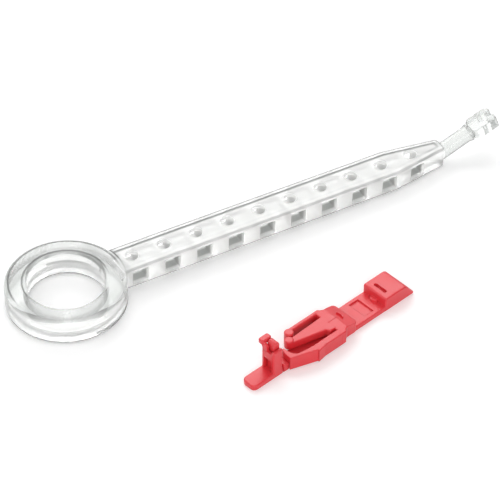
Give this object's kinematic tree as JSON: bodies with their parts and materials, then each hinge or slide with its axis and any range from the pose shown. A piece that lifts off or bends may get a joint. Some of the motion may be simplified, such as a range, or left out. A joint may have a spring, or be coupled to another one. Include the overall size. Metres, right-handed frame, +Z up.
{
  "type": "finger tourniquet",
  "caption": "Clear soft strap with a finger ring, a ladder of windows and a pull tail, with its separate hard red locking clip.",
  "frame": {"origin": "on the floor under the middle of the strap and clip together", "axes": "+X along the strap from the ring to the pull tail, +Z up"},
  "size_m": [0.1384, 0.064, 0.0104],
  "materials": {
    "clear_elastomer": "gloss",
    "red_plastic": "satin"
  },
  "bodies": {
    "ring": {"finger_ring": "clear_elastomer"},
    "web_01": {"strap_link_01": "clear_elastomer"},
    "web_02": {"strap_link_02": "clear_elastomer"},
    "web_03": {"strap_link_03": "clear_elastomer"},
    "web_04": {"strap_link_04": "clear_elastomer"},
    "web_05": {"strap_link_05": "clear_elastomer"},
    "web_06": {"strap_link_06": "clear_elastomer"},
    "web_07": {"strap_link_07": "clear_elastomer"},
    "web_08": {"strap_link_08": "clear_elastomer"},
    "web_09": {"strap_link_09": "clear_elastomer"},
    "web_10": {"strap_end": "clear_elastomer"},
    "tail": {"pull_stem": "clear_elastomer", "pull_grip": "clear_elastomer"},
    "clip": {"clip_frame": "red_plastic", "lock_plate": "red_plastic"},
    "draw": {"draw_bar": "red_plastic", "lock_tooth": "red_plastic"},
    "far_arm": {"far_jaw_arm": "red_plastic"},
    "near_arm": {"near_jaw_arm": "red_plastic"},
    "tongue": {"lock_tongue": "red_plastic"},
    "hook": {"catch_hook": "red_plastic"}
  },
  "joints": [
    {"name": "strap_bend_01", "type": "hinge", "parent": "ring", "child": "web_01", "pos_m": [-0.03624, 0.01704, 0.00666], "axis": [0, -1, 0], "range_deg": [0, 24], "stiffness_Nm_per_rad": 0.001},
    {"name": "strap_bend_02", "type": "hinge", "parent": "web_01", "child": "web_02", "pos_m": [-0.02735, 0.01704, 0.00656], "axis": [0, -1, 0], "range_deg": [0, 24], "stiffness_Nm_per_rad": 0.001},
    {"name": "strap_bend_03", "type": "hinge", "parent": "web_02", "child": "web_03", "pos_m": [-0.01845, 0.01704, 0.00645], "axis": [0, -1, 0], "range_deg": [0, 24], "stiffness_Nm_per_rad": 0.001},
    {"name": "strap_bend_04", "type": "hinge", "parent": "web_03", "child": "web_04", "pos_m": [-0.00955, 0.01704, 0.00635], "axis": [0, -1, 0], "range_deg": [0, 24], "stiffness_Nm_per_rad": 0.001},
    {"name": "strap_bend_05", "type": "hinge", "parent": "web_04", "child": "web_05", "pos_m": [-0.00065, 0.01704, 0.00624], "axis": [0, -1, 0], "range_deg": [0, 24], "stiffness_Nm_per_rad": 0.001},
    {"name": "strap_bend_06", "type": "hinge", "parent": "web_05", "child": "web_06", "pos_m": [0.00825, 0.01704, 0.00613], "axis": [0, -1, 0], "range_deg": [0, 24], "stiffness_Nm_per_rad": 0.001},
    {"name": "strap_bend_07", "type": "hinge", "parent": "web_06", "child": "web_07", "pos_m": [0.01715, 0.01704, 0.00603], "axis": [0, -1, 0], "range_deg": [0, 24], "stiffness_Nm_per_rad": 0.001},
    {"name": "strap_bend_08", "type": "hinge", "parent": "web_07", "child": "web_08", "pos_m": [0.02605, 0.01704, 0.00592], "axis": [0, -1, 0], "range_deg": [0, 24], "stiffness_Nm_per_rad": 0.001},
    {"name": "strap_bend_09", "type": "hinge", "parent": "web_08", "child": "web_09", "pos_m": [0.03495, 0.01704, 0.00582], "axis": [0, -1, 0], "range_deg": [0, 24], "stiffness_Nm_per_rad": 0.001},
    {"name": "strap_bend_10", "type": "hinge", "parent": "web_09", "child": "web_10", "pos_m": [0.04385, 0.01704, 0.00571], "axis": [0, -1, 0], "range_deg": [0, 24], "stiffness_Nm_per_rad": 0.001},
    {"name": "tail_bend", "type": "hinge", "parent": "web_10", "child": "tail", "pos_m": [0.05481, 0.01704, 0.00369], "axis": [0, -1, 0], "range_deg": [-15, 40], "stiffness_Nm_per_rad": 0.002},
    {"name": "clip_lift", "type": "slide", "parent": "ring", "child": "clip", "axis": [0, 0, 1], "range_m": [0, 0.03]},
    {"name": "draw_slide", "type": "slide", "parent": "clip", "child": "draw", "axis": [-0.972, -0.2351, 0], "range_m": [0, 0.0025]},
    {"name": "far_arm_flex", "type": "hinge", "parent": "clip", "child": "far_arm", "pos_m": [-0.00609, -0.01969, 0.0021], "axis": [0, 0, -1], "range_deg": [0, 4], "stiffness_Nm_per_rad": 0.05},
    {"name": "near_arm_flex", "type": "hinge", "parent": "clip", "child": "near_arm", "pos_m": [-0.00405, -0.0281, 0.0021], "axis": [0, 0, 1], "range_deg": [0, 4], "stiffness_Nm_per_rad": 0.05},
    {"name": "tongue_flex", "type": "hinge", "parent": "clip", "child": "tongue", "pos_m": [-0.00502, -0.02411, 0.003], "axis": [-0.2351, 0.972, 0], "range_deg": [0, 8], "stiffness_Nm_per_rad": 0.05},
    {"name": "hook_flex", "type": "hinge", "parent": "draw", "child": "hook", "pos_m": [-0.02385, -0.02769, 0.00755], "axis": [0.2351, -0.972, 0], "range_deg": [0, 8], "stiffness_Nm_per_rad": 0.02}
  ],
  "couplings": [
    {"joint": "strap_bend_02", "follows": "strap_bend_01", "ratio": 1},
    {"joint": "strap_bend_03", "follows": "strap_bend_01", "ratio": 1},
    {"joint": "strap_bend_04", "follows": "strap_bend_01", "ratio": 1},
    {"joint": "strap_bend_05", "follows": "strap_bend_01", "ratio": 1},
    {"joint": "strap_bend_06", "follows": "strap_bend_01", "ratio": 1},
    {"joint": "strap_bend_07", "follows": "strap_bend_01", "ratio": 1},
    {"joint": "strap_bend_08", "follows": "strap_bend_01", "ratio": 1},
    {"joint": "strap_bend_09", "follows": "strap_bend_01", "ratio": 1},
    {"joint": "strap_bend_10", "follows": "strap_bend_01", "ratio": 1},
    {"joint": "near_arm_flex", "follows": "far_arm_flex", "ratio": 1}
  ]
}
